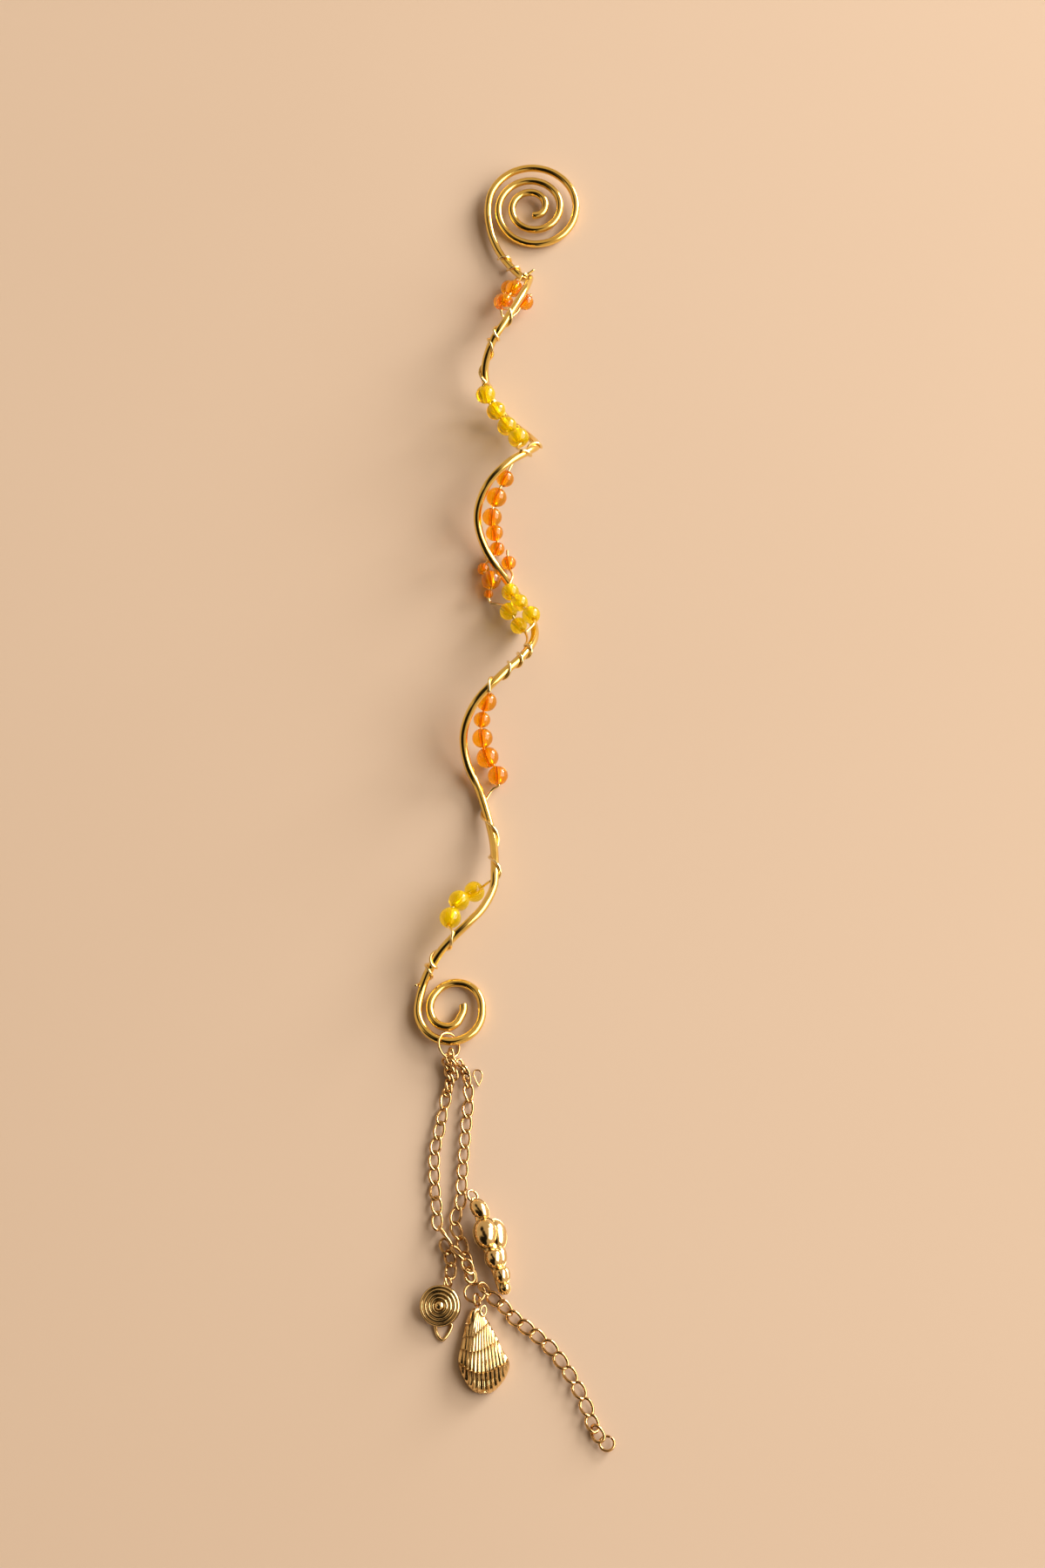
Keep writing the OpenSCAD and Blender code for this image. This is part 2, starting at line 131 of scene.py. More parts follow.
# Round rings: name, centre, radius, radius of the wire, tilts about X, Y and Z in degrees
RINGS = [
    ["jump_ring", [-10.9, -57.9, 1.7], 2.25, 0.21, [0, 38, 0]],
    ["whelk_ring", [-6.6, -85, 1.6], 1, 0.24, [0, 35, 20]],
    ["disc_ring", [-10.6, -99.9, 1.6], 0.9, 0.24, [0, 60, 15]],
    ["cluster_ring", [-6.1, -101.8, 1.5], 1.7, 0.24, [-10, 0, 0]],
    ["shell_ring", [-5.7, -103.1, 1.6], 1, 0.24, [0, 60, 0]],
    ["tail_ring", [16, -127, 0.75], 1.2, 0.24, [0, 0, 0]],
]
# Loops of wire that lie flat: height of the wire's middle, its radius, thickness over width, corners
TEARDROP = [0.5, 0.15, 1, [
    [-5.7, -65], [-6.2, -63.9], [-6.6, -62.8], [-6.3, -62.1], [-5.6, -62.1], [-5.1, -62.7], [-5.2, -63.8],
]]
DISC_LINK = [0.36, 0.28, 1.05, [
    [-12.7, -107], [-12.6, -108], [-12.2, -109], [-11.5, -109.6], [-10.8, -109], [-10.2, -108],
    [-10, -107], [-11.3, -106.7],
]]
# Loops cast on the charms: middle, half width, half length, thickness, tilts about X, Y and Z in degrees
WHELK_LOOP = [[-6.2, -86, 2], 0.45, 0.55, 0.36, [0, 40, 30]]
DISC_LOOP = [[-11, -100.4, 2], 0.45, 0.5, 0.34, [0, 60, -15]]
SHELL_LOOP = [[-4.6, -105, 1.9], 0.5, 0.85, 0.32, [0, 20, -8]]

# Body of the whelk from its top to its tip: x, y, z, radius
WHELK_BODY = [
    [-6, -86.2, 1.7, 0], [-5.6, -87.2, 1.7, 0.75], [-5, -89, 1.65, 1.1], [-4.1, -91.9, 1.65, 1.5],
    [-3, -95.4, 1.6, 1.35], [-2.2, -98, 1.5, 1.1], [-1.6, -100.4, 1.35, 0.9], [-1.4, -101.6, 1.25, 0.65],
    [-1.35, -102.2, 1.2, 0],
]
# Lobes of the whelk: x, y, height of the rim, half width, half length, height of the dome, turn and lean
WHELK_LOBES = [
    [-5.3, -87.6, 2.1, 1.45, 2.25, 1.35, 33, 0],
    [-2.3, -91.8, 1.8, 1.9, 2.8, 1.3, 10, 30], [-4.25, -91.9, 2.5, 2.2, 2.95, 2, 6, 0],
    [-1.9, -95.4, 1.7, 1.4, 2.1, 1.2, 12, 35], [-2.8, -96.1, 2.2, 1.65, 2.05, 1.75, 10, 0],
    [-1.05, -98.6, 1.5, 1.05, 1.6, 1, 14, 35], [-1.6, -99, 1.9, 1.3, 1.7, 1.45, 14, 0],
    [-1, -101, 1.3, 1.05, 1.15, 1.1, 20, 10],
]

# Disc charm: place, tilts about X, Y and Z in degrees, radius, heights in the middle and at the rim
DISC_PLACE = [-11.8, -104.1, 1.5]
DISC_TILTS = [12, -12, 0]
DISC_R = 3.5
DISC_HEIGHTS = (1.1, 0.68)
# How strong the painted shade in its hollows is, how high its ridges stand, and the radius and half width
# of each
DISC_SHADE = 0.55
DISC_RIDGE = 0.3
DISC_RIDGES = [[1.22, 0.33], [1.9, 0.34], [2.6, 0.35], [3.2, 0.27]]

# Scallop shell from its top to its foot: y, x of the middle, half width, height
SHELL_SECTIONS = [
    [-104.4, -5.8, 0.8, 0.85], [-106.1, -5.7, 1.7, 1.45], [-109.2, -5.2, 2.9, 1.95],
    [-111, -5, 3.5, 2.2], [-113.5, -4.5, 4.3, 2.4], [-115.5, -4.4, 3.8, 2.3],
    [-117, -4.45, 2.95, 1.9], [-118.2, -4.5, 1.8, 1.45], [-118.7, -4.4, 0.7, 0.95],
]
# Height of its rim above the table, and how far its back bulges below the rim
SHELL_EDGE_Z = 0.5
SHELL_BACK = 0.35
# Where its first tier starts and its last one ends: y
SHELL_ENDS = (-104, -118.9)
# Lower edge of each tier from the left rim to the right one: place across, y
SHELL_TIERS = [
    [[-1, -106.9], [-0.62, -107.4], [-0.27, -106.9], [0.05, -105.2], [1, -104.6]],
    [
        [-1, -109.4], [-0.57, -109.4], [-0.3, -109.6], [-0.1, -109], [0.15, -108.4], [0.57, -107.5],
        [1, -106.7],
    ],
    [
        [-1, -111.2], [-0.73, -111.7], [-0.4, -112.2], [-0.08, -112], [0.2, -111.6], [0.55, -110.8],
        [1, -109.7],
    ],
    [
        [-1, -113.4], [-0.7, -114.9], [-0.47, -115.5], [-0.2, -115.8], [0.07, -115.7], [0.33, -115.4],
        [0.64, -114.5], [0.9, -113.5], [1, -112.4],
    ],
]
# How far each tier climbs, and how far the last one does
SHELL_CLIMB = 0.58
SHELL_LAST_CLIMB = 0.42
# How strong the painted shadow below a tier's edge is, and how far down the tier it reaches
SHELL_SHADE = 0.95
SHELL_SHADE_REACH = 0.17
# Point that the ribs fan out from, and the angle between two of them in degrees
SHELL_FAN = (-5, -100.5)
SHELL_RIB = 2.6

# Colour of the daylight
DAYLIGHT = (1.0, 0.96, 0.9)
# Camera: its place in metres, how many degrees down it looks, and its lens and the width of its film
CAMERA_PLACE = (0.002, -0.22094, 0.48053)
CAMERA_DOWN = 66
CAMERA_LENS = 66
CAMERA_FILM = 36
# Dark patches of the room: direction, and the cosine of the angle from it at the patch's edge and core
DARK_PATCHES = [
    [[-0.1, -0.4, 0.88], 0.88, 0.955], [[-0.5, -0.8, 0.4], 0.7, 0.85],
    [[-0.56, 0.4, 0.72], 0.93, 0.985], [[-0.37, 0, 0.93], 0.93, 0.985],
]


# Curves


def smooth_at(rows, t):
    """The smooth curve through rows of numbers, at each t, which counts the rows. Between two rows it is
    a cubic whose slope at each row is half the step from the row before to the row after."""
    rows = np.asarray(rows, float)
    last = len(rows) - 1
    t = np.atleast_1d(np.asarray(t, float))
    i = np.clip(np.floor(t).astype(int), 0, last - 1)
    f = (t - i)[:, None]
    a, b, c, d = rows[np.maximum(i - 1, 0)], rows[i], rows[i + 1], rows[np.minimum(i + 2, last)]
    return b + ((c - a) * f + (2 * a - 5 * b + 4 * c - d) * f**2 + (3 * b - a - 3 * c + d) * f**3) / 2


def lengths(points):
    """How far along its own line each point is."""
    steps = np.linalg.norm(np.diff(points, axis=0), axis=1)
    return np.concatenate([[0], np.cumsum(steps)])


def at_lengths(points, where):
    """Points that lie at the given distances along a line of points."""
    run = lengths(points)
    return np.stack([np.interp(where, run, points[:, k]) for k in range(points.shape[1])], -1)


def smooth_line(rows, spacing):
    """The smooth curve through rows of points, as points with the same spacing all along."""
    fine = smooth_at(rows, np.linspace(0, len(rows) - 1, 24 * len(rows)))
    total = lengths(fine)[-1]
    return at_lengths(fine, np.linspace(0, total, int(total / spacing) + 2))


def unit(v):
    return v / np.linalg.norm(v, axis=-1, keepdims=True)


def travel(points, closed=False):
    """Direction of travel at each point of a line."""
    if closed:
        return unit(np.roll(points, -1, axis=0) - np.roll(points, 1, axis=0))
    return unit(np.gradient(points, axis=0))


def level_sides(ahead):
    """For each direction of travel, the level direction to its right and the one square to both."""
    side = unit(np.cross(ahead, [0, 0, 1]))
    return side, np.cross(side, ahead)


def turned_least(ahead):
    """Sides and ups along a line that turn as little as possible from one point to the next."""
    up = np.empty_like(ahead)
    lean = np.array([0.0, 0.0, 1.0])
    for i, a in enumerate(ahead):
        lean = unit(lean - (lean @ a) * a)
        up[i] = lean
    return np.cross(ahead, up), up


# Meshes


def quads(rows, columns, closed, start):
    """Corner numbers of the faces of a grid of rings. A closed grid's last ring meets its first."""
    i = np.arange(rows if closed else rows - 1)[:, None]
    j = np.arange(columns)[None, :]
    below, right = (i + 1) % rows, (j + 1) % columns
    corners = [i * columns + j, below * columns + j, below * columns + right, i * columns + right]
    return start + np.stack(corners, -1).reshape(-1, 4)


def piece(name, grids, surface, slot, replaces, closed=False, marks=None, crease=40):
    """One object from grids of rings of points in mm. Points that fall together are merged: its poles
    close. Edges of more than the crease, in degrees, stay sharp. Marks are values for its shader."""
    faces, start = [], 0
    for grid in grids:
        faces.append(quads(grid.shape[0], grid.shape[1], closed, start))
        start += grid.shape[0] * grid.shape[1]
    points = np.concatenate([grid.reshape(-1, 3) for grid in grids]) * MM
    faces = np.concatenate(faces)
    mesh = bpy.data.meshes.new(name)
    mesh.vertices.add(len(points))
    mesh.vertices.foreach_set("co", points.astype(np.float32).ravel())
    mesh.loops.add(faces.size)
    mesh.loops.foreach_set("vertex_index", faces.astype(np.int32).ravel())
    mesh.polygons.add(len(faces))
    mesh.polygons.foreach_set("loop_start", np.arange(0, faces.size, 4, dtype=np.int32))
    mesh.update(calc_edges=True)
    for mark, values in (marks or {}).items():
        kind, field = ("FLOAT", "value") if values[0].ndim == 2 else ("FLOAT_VECTOR", "vector")
        layer = mesh.attributes.new(mark, kind, "POINT")
        layer.data.foreach_set(field, np.concatenate([v.ravel() for v in values]).astype(np.float32))
    made = bpy.data.objects.new(name, mesh)
    bpy.context.scene.collection.objects.link(made)
    merge_doubles(mesh)
    mesh.shade_smooth()
    mesh.set_sharp_from_angle(angle=math.radians(crease))
    mesh.materials.append(surface)
    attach(made, "root")
    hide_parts(*replaces)


def merge_doubles(mesh):
    shape = bmesh.new()
    shape.from_mesh(mesh)
    bmesh.ops.remove_doubles(shape, verts=shape.verts, dist=MERGE)
    shape.to_mesh(mesh)
    shape.free()


def tube(points, radius, sides, closed=False, flat=1.0):
    """A section carried along a line: point + radius (cos a side + flat sin a up), at each angle a. The
    radius may change along the line."""
    ahead = travel(points, closed)
    side, up = turned_least(ahead)
    angle = np.linspace(0, 2 * math.pi, sides, endpoint=False)[None, :, None]
    radius = np.broadcast_to(radius, len(points))[:, None, None]
    return points[:, None] + radius * (side[:, None] * np.cos(angle) + flat * up[:, None] * np.sin(angle))


def cut_tube(points, radius, sides):
    """A tube with flat cut ends, and how far along and which way round each of its points is."""
    run = lengths(points)
    inner = points[(run > END_CLEAR) & (run < run[-1] - END_CLEAR)]
    points = np.concatenate([points[:1], inner, points[-1:]])
    ahead = travel(points)
    worn = min(END_WORN, radius / 2)
    first, last = points[0], points[-1]
    stations = np.concatenate([
        [first, first, first + ahead[0] * worn], points[1:-1], [last - ahead[-1] * worn, last, last],
    ])
    ahead = np.concatenate([ahead[[0, 0, 0]], ahead[1:-1], ahead[[-1, -1, -1]]])
    radii = np.full(len(stations), float(radius))
    radii[[0, -1]] = 0
    radii[[1, -2]] = radius - worn
    side, up = turned_least(ahead)
    angle = np.linspace(0, 2 * math.pi, sides, endpoint=False)
    circle = side[:, None] * np.cos(angle)[None, :, None] + up[:, None] * np.sin(angle)[None, :, None]
    grid = stations[:, None] + radii[:, None, None] * circle
    run, around = lengths(stations)[:, None], (radius * np.cos(angle), radius * np.sin(angle))
    return grid, np.stack(np.broadcast_arrays(run, *around), -1)


def turned(points, tilts):
    """Points turned about X, then Y, then Z, by degrees."""
    turn = np.array(Euler([math.radians(a) for a in tilts], "XYZ").to_matrix())
    return points @ turn.T


# Routes of the wires


def spiral(centre, radii, start, step, where):
    """x and y at centre + radius (cos, sin). The radii are a step of degrees apart. Where counts them."""
    angle = np.radians(start + step * where)
    r = smooth_at(np.array(radii)[:, None], where)[:, 0]
    return centre[0] + r * np.cos(angle), centre[1] + r * np.sin(angle)


def main_parts():
    """Keys of the main wire: a spiral, bends, a corkscrew whose axis wanders, bends and a spiral. The
    corkscrew is axis + (half width cos a, 0, low + rise (1 + sin a)). The spirals lean up a little."""
    x, y = spiral(FAR_SPIRAL, FAR_RADII, -90, 90, np.arange(0, 11.01, 0.25))
    far = np.stack([x, y, WIRE_R + SPIRAL_GAP + (y - FAR_EDGE) * FAR_SLOPE], -1)
    quarter = np.arange(0, 12.01, 0.5)
    row = smooth_at(COIL_QUARTERS, quarter)
    a = np.radians(90 * quarter)
    z = COIL_LOW + COIL_RISE * row[:, 3] * (1 + np.sin(a))
    coil = np.stack([row[:, 1] + row[:, 2] * np.cos(a), row[:, 0], z], -1)
    x, y = spiral(NEAR_SPIRAL, NEAR_RADII, 180, 45, np.arange(0, 12.51, 0.5))
    near = np.stack([x, y, WIRE_R + SPIRAL_GAP + (NEAR_EDGE - y) * NEAR_SLOPE], -1)
    return [far, LEAD_BENDS, coil, FOOT_BENDS, near]


MAIN_PARTS = main_parts()
MAIN_KEYS = np.concatenate(MAIN_PARTS)
LEAD_START, COIL_START, FOOT_START = np.cumsum([len(part) for part in MAIN_PARTS])[:3]


def wrap(keys, first, last):
    """Binding wire round the main wire, at middle + distance (cos a up - sin a side). It crosses over
    the top at each of the keys, one full turn apart, and runs on evenly past the first and the last."""
    turn = np.arange(first, last + 0.001, 1 / 8)
    t = np.interp(turn, np.arange(len(keys)), keys)
    below, above = turn < 0, turn > len(keys) - 1
    t[below] = keys[0] + (keys[1] - keys[0]) * turn[below]
    t[above] = keys[-1] + (keys[-1] - keys[-2]) * (turn[above] - len(keys) + 1)
    ahead = unit(smooth_at(MAIN_KEYS, t + 0.05) - smooth_at(MAIN_KEYS, t - 0.05))
    side, up = level_sides(ahead)
    a = 2 * math.pi * turn[:, None]
    spots = smooth_at(MAIN_KEYS, t) + (WIRE_R + THREAD_R) * (np.cos(a) * up - np.sin(a) * side)
    return [[*spot, 0] for spot in spots]


def bindings():
    """Each binding wire: x, y, z, diameter of the bead there (0 is bare wire), name of the bead."""
    lead, coil, foot = LEAD_START, COIL_START, FOOT_START
    first = [
        *wrap([lead + 3.3, lead + 4.5], -0.3, 1.5),
        [-0.7, 99.3, 1.9, 3.2, "orange_top_1"], [-2, 94.9, 3.7, 3.4, "orange_top_2"],
        [-1.9, 92.3, 2.7, 0], [-0.5, 92.4, 2.1, 0], [0.8, 93.5, 2, 0],
        [2.5, 95.7, 2.6, 3.4, "orange_top_3"], [3.8, 97.2, 2.9, 0],
    ]
    second = [
        [4.3, 102.4, 3.8, 0], *reversed(wrap([coil - 1.4, coil - 1.4], -0.1, 0.25)),
        [0.4, 96.8, 5.5, 3.4, "orange_top_4"], [-1.5, 92.9, 6.8, 3.4, "orange_top_5"],
        [-1.5, 89.8, 9.4, 0],
        *wrap([coil + 1.85, coil + 2.7, coil + 3, coil + 4.35], -0.1, 3.2),
        [-4.9, 73.8, 8, 0], [-5.1, 71.9, 6.7, 3.8, "yellow_top_1"],
        [-3.1, 69.8, 4.2, 3.7, "yellow_top_2"], [-1, 66.3, 4.3, 3.8, "yellow_top_3"],
        [1.2, 63, 5.5, 4, "yellow_top_4"], [1, 60, 7.4, 0], [0.9, 58.6, 9.2, 0],
        *wrap([coil + 9.3, coil + 8.4], -0.1, 1.3),
    ]
    third = [
        [0.2, 55.4, 9.2, 0],
        [-1.3, 52.2, 8.7, 3.4, "orange_middle_1"], [-2.9, 48.7, 7.7, 3.9, "orange_middle_2"],
        [-3.7, 44.8, 7.1, 3.7, "orange_middle_3"], [-3.3, 43.2, 3.9, 3.3, "orange_middle_4"],
        [-2.8, 41, 1.6, 2.9, "orange_middle_5"], [-5.4, 36.9, 1.3, 2.3, "orange_middle_6"],
        [-3.9, 34.1, 2.1, 3.7, "orange_middle_7"], [-4.4, 31.7, 1, 1.8, "orange_middle_8"],
        [-4, 30, 0.7, 0], [-2.6, 29.4, 1.2, 0],
        [-0.6, 27.4, 2.2, 3.4, "yellow_middle_1"], [1.3, 24.6, 1.8, 3.2, "yellow_middle_2"],
        [2.6, 22.2, 3.4, 0], [2.9, 19.8, 5.4, 0],
        *wrap([coil + 16.75, coil + 17.2, coil + 17.6, coil + 18.35], -0.3, 3.3),
        [-4.6, 6.3, 7.2, 3.8, "orange_low_1"], [-5.4, 3.3, 5.7, 3.1, "orange_low_2"],
        [-5.3, -0.2, 5.3, 3.8, "orange_low_3"], [-4.4, -2.7, 2.3, 4.1, "orange_low_4"],
        [-2.5, -6.2, 2, 3.7, "orange_low_5"], [-3.5, -8.6, 1, 0],
        *wrap([coil + 22.75, coil + 23.8], -0.6, 1.75),
        [-6.6, -29.5, 3.2, 3.8, "yellow_low_1"], [-9.3, -31.8, 4.7, 3.8, "yellow_low_2"],
        [-10.8, -35.4, 5.5, 3.9, "yellow_low_3"],
        *wrap([foot + 3.1, foot + 4.95, foot + 5.35, foot + 7.1], -0.1, 2.7), [-16.9, -46.9, 2.1, 0],
    ]
    fourth = [
        [-0.9, 40.4, 2.4, 0], [-0.6, 38, 1.6, 2.8, "orange_middle_9"], [0.1, 35, 1.9, 0],
        [-0.3, 30.6, 3.9, 3.3, "yellow_middle_3"], [1.4, 27.5, 5.5, 3.3, "yellow_middle_4"],
        [3.6, 24.1, 7.1, 3.4, "yellow_middle_5"], [4, 21.2, 8.8, 0], [2.6, 19.4, 9.4, 0],
    ]
    return {"first_wire": first, "second_wire": second, "third_wire": third, "fourth_wire": fourth}


BINDINGS = bindings()


def bore_direction(rows, i):
    """Halfway between the directions to the neighbours before and after."""
    before, here, after = (np.array(rows[k][:3]) for k in (i - 1, i, i + 1))
    return unit(unit(after - here) + unit(here - before))


def binding_keys(rows):
    """Binding wire through each bead's middle, and halfway across the gap to the next bead."""
    def mouth(i, end):
        return np.array(rows[i][:3]) + bore_direction(rows, i) * end * rows[i][3] / 2

    keys = []
    for i, row in enumerate(rows):
        if row[3] == 0:
            keys.append(np.array(row[:3]))
            continue
        if rows[i - 1][3] == 0:
            keys.append(mouth(i, -1))
        keys += [mouth(i, -0.5), mouth(i, 0.5)]
        keys.append(mouth(i, 1) if rows[i + 1][3] == 0 else (mouth(i, 1) + mouth(i + 1, -1)) / 2)
    return np.array(keys)


# Shaders


class Number:
    """A number in a shader. Arithmetic on it puts Math nodes after its socket."""

    def __init__(self, shader, socket):
        self.shader, self.socket = shader, socket

    def maths(self, operation, *values, **settings):
        return self.shader.node("Math", {"operation": operation, **settings}, dict(enumerate(values)))

    def __add__(self, other):
        return self.maths("ADD", self, other)

    def __mul__(self, other):
        return self.maths("MULTIPLY", self, other)

    def __pow__(self, other):
        return self.maths("POWER", self, other)

    __radd__, __rmul__ = __add__, __mul__

    def times_up_to_one(self, other):
        return self.maths("MULTIPLY", self, other, use_clamp=True)

    def or_more(self, other):
        return self.maths("MAXIMUM", self, other)


class Shader:
    """The nodes of one material or world. Its look comes from the node called skin."""

    def __init__(self, owner, skin="Principled BSDF", **settings):
        owner.use_nodes = True
        self.owner, self.tree = owner, owner.node_tree
        self.skin = self.tree.nodes[skin]
        self.set(**settings)

    def node(self, kind, settings, sockets, output=0):
        """A new node. Its settings come first, and then the values or links of its sockets."""
        made = self.tree.nodes.new("ShaderNode" + kind)
        for key, value in settings.items():
            setattr(made, key, value)
        for key, value in sockets.items():
            self.put(made.inputs[key], value)
        return Number(self, made.outputs[output])

    def put(self, socket, value):
        if isinstance(value, Number):
            self.tree.links.new(value.socket, socket)
        else:
            socket.default_value = value

    def set(self, **settings):
        """Values for inputs of the skin, whose names get underscores for spaces."""
        for key, value in settings.items():
            self.put(self.skin.inputs[key.replace("_", " ")], value)

    def place(self):
        return self.node("TexCoord", {}, {}, "Object")

    def mark(self, name, output="Fac"):
        return self.node("Attribute", {"attribute_name": name}, {}, output)

    def noise(self, where, scale, detail=3, roughness=0.5):
        sockets = {"Vector": where, "Scale": scale, "Detail": detail, "Roughness": roughness}
        return self.node("TexNoise", {}, sockets)

    def blend(self, factor, first, second):
        """A mix of two colours, each red, green and blue or another node's colour."""
        first, second = (c if isinstance(c, Number) else (*c, 1) for c in (first, second))
        return self.node("Mix", {"data_type": "RGBA"}, {"Factor": factor, 6: first, 7: second}, 2)

    def bump(self, height, distance):
        """A bump whose full height is the distance, in mm."""
        return self.node("Bump", {}, {"Height": height, "Distance": distance * MM})


def material(name, **settings):
    return Shader(bpy.data.materials.new(name), **settings)


def wire_gold():
    """Polished plated wire, paler where it is thin. Its gold deepens here and there, fine drawn lines
    run along it, and tools left dull marks."""
    s = material("wire_gold", Metallic=1.0)
    place, lie, thin = s.place(), s.mark("lie", "Vector"), s.mark("thin")
    stretched = s.node("VectorMath", {"operation": "MULTIPLY"}, {0: lie, 1: (0.12, 9, 9)})
    drawn = s.noise(stretched, 1, 4, 0.6)
    marks = s.noise(place, 900, 2)
    thick_gold = s.blend(s.noise(place, 260, 3), (0.9, 0.57, 0.11), (1.0, 0.76, 0.26))
    s.set(Base_Color=s.blend(thin, thick_gold, (0.97, 0.76, 0.36)))
    s.set(Roughness=0.07 + 0.1 * (marks ** 2) + 0.07 * drawn + 0.08 * thin)
    s.set(Normal=s.bump(s.noise(place, 330, 1) + drawn * 0.05, 0.02))
    return s.owner


def chain_gold():
    """Pale plating: two golds blend in patches, and a fine satin grain roughens it."""
    s = material("chain_gold", Metallic=1.0)
    place = s.place()
    fine = s.noise(place, 2600, 3)
    s.set(Base_Color=s.blend(s.noise(place, 420, 3), (0.5, 0.28, 0.1), (0.85, 0.58, 0.27)))
    s.set(Roughness=0.06 + 0.16 * (fine ** 2))
    s.set(Normal=s.bump(fine * 0.5 + s.noise(place, 700, 2), 0.01))
    return s.owner


def cast_gold():
    """Cast pale gold. Its hollows are duller than its high places, and painted shade makes them browner.
    """
    s = material("cast_gold", Metallic=1.0)
    place, hollow_shade = s.place(), s.mark("hollow_shade")
    fine = s.noise(place, 2200, 3)
    shade = hollow_shade.times_up_to_one(0.75 + 0.5 * fine)
    plain = s.blend(s.noise(place, 380, 2), (0.8, 0.56, 0.24), (0.95, 0.72, 0.37))
    # Painted shade: this brown stands for shade in hollows, creases and below edges. The gold has no such
    # colour.
    s.set(Base_Color=s.blend(shade, plain, (0.32, 0.17, 0.05)))
    s.set(Roughness=0.13 + 0.12 * (fine ** 2) + 0.2 * shade)
    s.set(Normal=s.bump(fine * 0.4 + s.noise(place, 600, 1), 0.01))
    return s.owner


def glass(name, deep, bright, clear, painted_glow):
    """Clear coloured glass with a little milk in it, and a faint painted glow in its deep colour that
    stands in for light gathered through it. Streaks of a deeper colour run through it, and its polish has
    a little grain."""
    s = material(name, Transmission_Weight=clear, IOR=1.5)
    # Painted glow: a faint emission that stands in for light focused through the bead
    s.set(Emission_Color=(*deep, 1), Emission_Strength=painted_glow)
    place = s.place()
    s.set(Base_Color=s.blend(s.noise(place, 700, 3), deep, bright))
    s.set(Roughness=0.01 + 0.04 * (s.noise(place, 1800, 2) ** 2))
    s.set(Normal=s.bump(s.noise(place, 500, 1), 0.02))
    return s.owner


# Pieces


def main_wire(gold):
    """A round tube along the smooth curve through the main wire's keys."""
    grid, lie = cut_tube(smooth_line(MAIN_KEYS, spacing=0.3), WIRE_R, sides=24)
    marks = {"lie": [lie], "thin": [np.zeros(grid.shape[:2])]}
    piece("main_wire_bent", [grid], gold, "wire_gold", ["main_wire"], marks=marks)


def binding_wires(gold):
    """Round tubes along the smooth curves through their beads and their turns on the main wire."""
    for name, rows in BINDINGS.items():
        grid, lie = cut_tube(smooth_line(binding_keys(rows), spacing=0.12), THREAD_R, sides=12)
        marks = {"lie": [lie], "thin": [np.ones(grid.shape[:2])]}
        piece(name + "_bound", [grid], gold, "wire_gold", [name], marks=marks)


def bead_grid(centre, along, size):
    """A bead turned about its bore: over the round outside from one mouth to the other, and back through
    the bore. Its outside is R sin a out from the bore and length R cos a along it. The bore starts a
    little further in than the outside ends, which rounds the mouths."""
    radius = size / 2
    bore = min(BORE_R, 0.3 * size)
    mouth = math.asin(bore / radius) + 0.06
    a = np.linspace(mouth, math.pi - mouth, 40)
    outside = BEAD_LENGTH * radius * np.cos(a)
    inside = np.linspace(-0.96, 0.96, 7) * outside[0]
    out = np.concatenate([radius * np.sin(a), np.full(len(inside), bore)])
    run = np.concatenate([outside, inside])
    across = unit(np.cross(along, [0.3, 0.2, 1]))
    third = np.cross(along, across)
    angle = np.linspace(0, 2 * math.pi, 48, endpoint=False)[None, :, None]
    ring = np.cos(angle) * across + np.sin(angle) * third
    return centre + run[:, None, None] * along + out[:, None, None] * ring


def beads(glasses):
    """Every bead on the binding wires. Its bore follows the wire in it."""
    for rows in BINDINGS.values():
        for i, row in enumerate(rows):
            if row[3] == 0:
                continue
            grid = bead_grid(np.array(row[:3]), bore_direction(rows, i), row[3])
            name = row[4]
            colour = "orange" if name.startswith("orange") else "yellow"
            piece(name + "_glass", [grid], glasses[colour], colour + "_glass", [name], closed=True)


def link(centre, ahead, side, up, half_length, half_width, twist):
    """One curb link. Its middle line is L cos t ahead, W sin t to the side and H sin 2t up, all round.
    It is lifted until it lies clear of the table."""
    t = np.linspace(0, 2 * math.pi, 44, endpoint=False)[:, None]
    line = half_length * np.cos(t) * ahead + half_width * np.sin(t) * side + twist * np.sin(2 * t) * up
    grid = tube(centre + line, LINK_WIRE / 2, sides=12, closed=True)
    grid[..., 2] += max(0, LINK_GAP - grid[..., 2].min())
    return grid


def rolled(side, up, roll):
    """The side and the up turned about the way ahead, by degrees."""
    c, s = math.cos(math.radians(roll)), math.sin(math.radians(roll))
    return side * c + up * s, up * c - side * s


def laid_links(route, where, width, rolls, half_length=1.6, twist=0.26):
    """Links along a route at the distances given, each rolled about the route by its own angle."""
    line = smooth_line(route, spacing=0.1)
    total = lengths(line)[-1]
    grids = []
    for s, roll in zip(where, rolls):
        back, here, front = at_lengths(line, np.clip([s - 1, s, s + 1], 0, total))
        ahead = unit(front - back)
        side, up = rolled(*level_sides(ahead), roll)
        grids.append(link(here, ahead, side, up, half_length, (width - LINK_WIRE) / 2, twist))
    return grids


def loose_link(x, y, z, heading, half_length, half_width, roll):
    """One link by itself. It lies level, with its heading and its roll in degrees."""
    ahead = np.array([math.cos(math.radians(heading)), math.sin(math.radians(heading)), 0.0])
    side, up = rolled(*level_sides(ahead), roll)
    return link(np.array([x, y, z]), ahead, side, up, half_length, half_width, twist=0.1)


